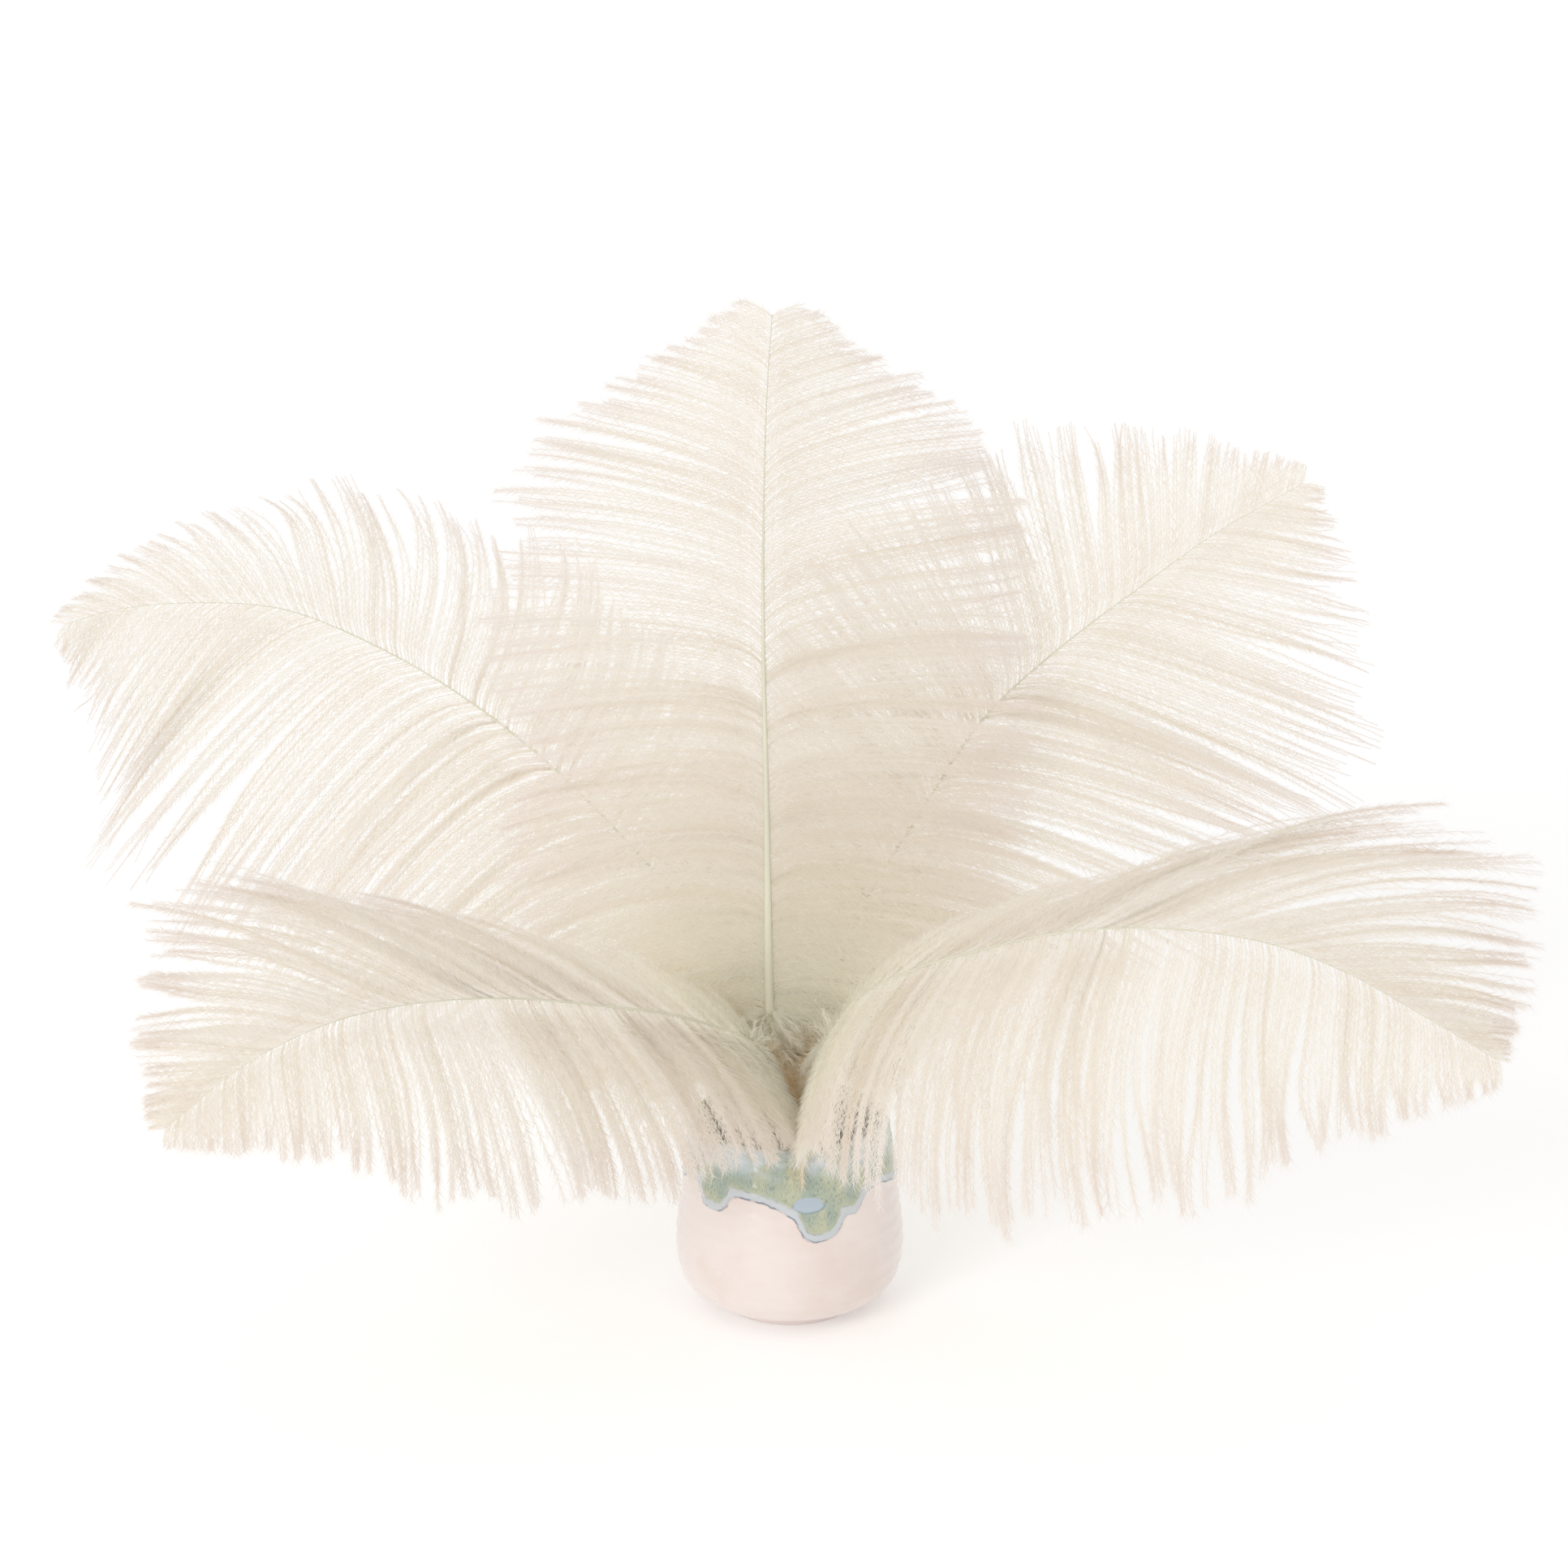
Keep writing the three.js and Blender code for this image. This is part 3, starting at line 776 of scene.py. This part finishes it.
def grow_under(random, quill, hand):
    """More barbs under the first ones near the base, where a plume is thickest."""
    v = 0.55 * random.uniform(0, 1, UNDER_BARBS) ** 1.7
    change = {
        "length": random.uniform(0.6, 1.02, UNDER_BARBS),
        "sweep": random.normal(0, 2, UNDER_BARBS),
        "camber": random.normal(1, 4, UNDER_BARBS),
        "curl": random.normal(0, 4, UNDER_BARBS),
        "sag": random.uniform(0, 0.1, UNDER_BARBS),
    }
    paths, normals = walk_barbs(quill, hand, v, change)
    return v, random.uniform(0, 1, UNDER_BARBS), paths, normals


# %% [markdown]
# ## Barbules
#
# Each barb is a flat tapering ribbon, and its barbules are single slim triangles on both sides of it.
# They lean towards the barb's tip and scatter a little out of the vane's plane, which gives the plume
# its depth. They are short at the quill, where the bare barbs show as fine ribs, and short again at
# the barb's end. Near the foot of the plume they are broader, `stout`, and stand out more, `fluff`.
# With thousands to a lock, an operator for each would take hours, so they are worked out as arrays,
# and one mesh takes them all at once.

# %% Threads as arrays
BARB_WIDTH = 0.34
BARBULES = 146000
BARBULE_LENGTH = 4.4
BARBULE_WIDTH = 0.54
SIDE_BALANCE = 0.6
FLUFF = 28.0
FLUFF_AT_BASE = 8.0
STOUT_AT_BASE = 0.45
FINE_AT_BASE = 0.4


def ribbons(paths, normals):
    """Vertices and triangles of one flat ribbon for each path."""
    count, stations, _ = paths.shape
    heading = unit(np.gradient(paths, axis=1))
    across = unit(np.cross(heading, normals))
    half = 0.5 * BARB_WIDTH * np.linspace(1.0, 0.75, stations)[None, :, None]
    vertices = np.stack([paths - across * half, paths + across * half], axis=2).reshape(-1, 3)
    first = (np.arange(count)[:, None] * stations + np.arange(stations - 1)[None, :]).ravel() * 2
    triangles = np.concatenate([np.stack([first, first + 1, first + 3], -1),
                                np.stack([first, first + 3, first + 2], -1)])
    return vertices, triangles


def barbules(random, count, paths, normals, fine, fluff, stout):
    """Barbules all along the paths: their points, triangles, barbs and places on the barbs.

    Past the share fine of a barb they soon get short, so the barb ends in a single hair. Fluff is how
    far they scatter out of the vane, in degrees, and stout how much broader they are than usual.
    """
    lengths = barb_reach(paths)
    marks = np.cumsum(lengths)
    where = (np.arange(count) + random.uniform(0, 1, count)) / count * marks[-1]
    barb = np.minimum(np.searchsorted(marks, where), len(marks) - 1)
    share = np.clip(1 - (marks[barb] - where) / lengths[barb], 0.01, 1) ** 1.2
    station = share * (paths.shape[1] - 1)
    low = np.minimum(station.astype(int), paths.shape[1] - 2)
    part = (station - low)[:, None]
    root = paths[barb, low] * (1 - part) + paths[barb, low + 1] * part
    heading = unit(paths[barb, low + 1] - paths[barb, low])
    across = unit(np.cross(heading, normals[barb, low]))
    upward = np.cross(across, heading)
    hand = np.where(np.arange(count) % 2, 1.0, -1.0)
    lean = np.radians(random.normal(27, 9, count))
    roll = np.radians(random.normal(0, 1, count) * fluff[barb])
    outward = across * (hand * np.cos(roll))[:, None] + upward * np.sin(roll)[:, None]
    ahead = heading * np.cos(lean)[:, None] + outward * np.sin(lean)[:, None]
    size = 0.35 + 0.65 * smoothstep(0.0, 0.12, share)
    size *= 1 - 0.75 * smoothstep(-0.15, 0.3, share - fine[barb])
    size = BARBULE_LENGTH * size * random.uniform(0.7, 1.2, count)
    size = np.minimum(size, 0.22 * lengths[barb] + 0.9)
    width = BARBULE_WIDTH * stout[barb] * (1 - 0.4 * smoothstep(0.8, 1, share))
    foot = heading * (0.5 * width)[:, None]
    tip = root + ahead * size[:, None] + DOWN * (0.03 * size ** 1.5)[:, None]
    vertices = np.stack([root - foot, root + foot, tip], axis=1).reshape(-1, 3)
    return vertices, np.arange(len(vertices)).reshape(-1, 3), barb, share


def mesh_from_arrays(name, vertices, triangles, values):
    """A mesh of triangles, in metres, that keeps the named values at its points."""
    mesh = bpy.data.meshes.new(name)
    mesh.vertices.add(len(vertices))
    mesh.vertices.foreach_set("co", (vertices * MM).astype(np.float32).ravel())
    mesh.loops.add(triangles.size)
    mesh.loops.foreach_set("vertex_index", triangles.astype(np.int32).ravel())
    mesh.polygons.add(len(triangles))
    mesh.polygons.foreach_set("loop_start", np.arange(0, triangles.size, 3, dtype=np.int32))
    for key, value in values.items():
        mesh.attributes.new(key, "FLOAT", "POINT").data.foreach_set("value", value.astype(np.float32))
    mesh.update()
    return mesh


def grow_vanes(name, quill, seed):
    """Both vanes of a plume as one mesh of ribbons and barbules."""
    random = np.random.default_rng(seed)
    sides = {}
    for hand in ("left", "right"):
        grown = [grow(random, quill, hand) for grow in (grow_barbs, grow_under, grow_down)]
        sides[hand] = [np.concatenate(parts) for parts in zip(*grown)]
    reach = {hand: barb_reach(side[2]).sum() ** SIDE_BALANCE for hand, side in sides.items()}
    vertices, triangles, plume_share, barb_share, tones = [], [], [], [], []
    total = 0
    for hand, (v, tone, paths, normals) in sides.items():
        stations = paths.shape[1]
        points, faces = ribbons(paths, normals)
        vertices.append(points)
        triangles.append(faces + total)
        plume_share.append(np.repeat(v, 2 * stations))
        barb_share.append(np.tile(np.repeat(np.linspace(0, 1, stations), 2), len(v)))
        tones.append(np.repeat(tone, 2 * stations))
        total += len(points)
        count = round(BARBULES * reach[hand] / sum(reach.values()))
        fine = quill.plume[hand]["fine"] + FINE_AT_BASE * smoothstep(0.32, 0.12, v)
        fluff = FLUFF + FLUFF_AT_BASE * smoothstep(0.3, 0.05, v)
        stout = 1 + STOUT_AT_BASE * smoothstep(0.34, 0.1, v)
        points, faces, barb, share = barbules(random, count, paths, normals, fine, fluff, stout)
        vertices.append(points)
        triangles.append(faces + total)
        plume_share.append(np.repeat(v[barb], 3))
        barb_share.append(np.repeat(share, 3))
        tones.append(np.repeat(tone[barb], 3))
        total += len(points)
    values = {"plume_share": np.concatenate(plume_share), "barb_share": np.concatenate(barb_share),
              "tone": np.concatenate(tones)}
    return mesh_from_arrays(name, np.vstack(vertices), np.vstack(triangles), values)


# %% [markdown]
# ## The plume's finishes
#
# A thread this fine lets more than half the light through, so its finish is a matt surface mixed with
# a translucent one. One thread is nearly white; the cream comes from light that passed through
# several, as in the real plume. Towards the base of a plume more light goes through each thread, and
# the down itself is a warmer cream.
# The quill is horn: smoother, a pale cream with a trace of green.

# %% Plume finishes
THREAD = colour(250, 247, 242)
THREAD_SHADE = colour(247, 242, 234)
THREAD_TIP = colour(245, 238, 233)
# Near-white threads at the plume's base: painted light that lifts the shade the dense barbs cast on each
# other there.
THREAD_BASE_PAINTED_FILL = colour(254, 253, 247)
THREAD_DOWN = colour(247, 237, 217)
HORN = colour(232, 229, 210)
HORN_DARK = colour(206, 202, 180)
CLEAR = 0.6
CLEARER_AT_BASE = 0.22


def make_thread():
    finish = Finish("plume_thread")
    along_plume = finish.attribute("plume_share")
    tip = finish.attribute("barb_share").ramp(0.55, 1.05)
    shade = finish.mix(finish.attribute("tone"), THREAD, THREAD_SHADE)
    shade = finish.mix(tip * 0.8, shade, THREAD_TIP)
    # Painted light: the threads turn whiter towards the plume's base, against the shade of the crowded
    # barbs there.
    shade = finish.mix(along_plume.ramp(0.34, 0.0) * (1 - tip * 0.4), shade, THREAD_BASE_PAINTED_FILL)
    shade = finish.mix(along_plume.ramp(0.05, -0.01), shade, THREAD_DOWN)
    matt = finish.node("ShaderNodeBsdfPrincipled", inputs={
        "Base Color": shade, "Roughness": 0.75, "Specular IOR Level": 0.15})
    through = finish.node("ShaderNodeBsdfTranslucent", inputs={"Color": shade})
    clear = CLEAR + CLEARER_AT_BASE * along_plume.ramp(0.45, 0.05)
    return finish.shade(finish.node("ShaderNodeMixShader", inputs={0: clear, 1: matt, 2: through}))


def make_horn():
    finish = Finish("quill_horn")
    shade = finish.mix(finish.noise(90, 3, stretch=(1, 1, 0.2)), HORN, HORN_DARK)
    return finish.shade(finish.node("ShaderNodeBsdfPrincipled", inputs={
        "Base Color": shade, "Roughness": 0.38, "Specular IOR Level": 0.4}))


thread, horn = make_thread(), make_horn()

# %% Grow the plumes
for seed, (name, plume) in enumerate(PLUMES.items(), start=11):
    quill = Quill(plume)
    pieces = {"quill": (grow_quill(name, quill), horn), "barbs": (grow_vanes(name, quill, seed), thread)}
    for part, (mesh, material) in pieces.items():
        piece = object_of(mesh, f"{name}_{part}")
        mesh.materials.clear()
        mesh.materials.append(material)
        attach(piece, "root")
        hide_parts(name)
        print(piece.name, "has", len(mesh.polygons), "faces")

# %% [markdown]
# ## The last step
#
# The view layer is brought up to date. The dressed bunch has to stay inside the solid model's
# box, apart from what soft barbs may stand proud.

# %% Update the view layer
bpy.context.view_layer.update()
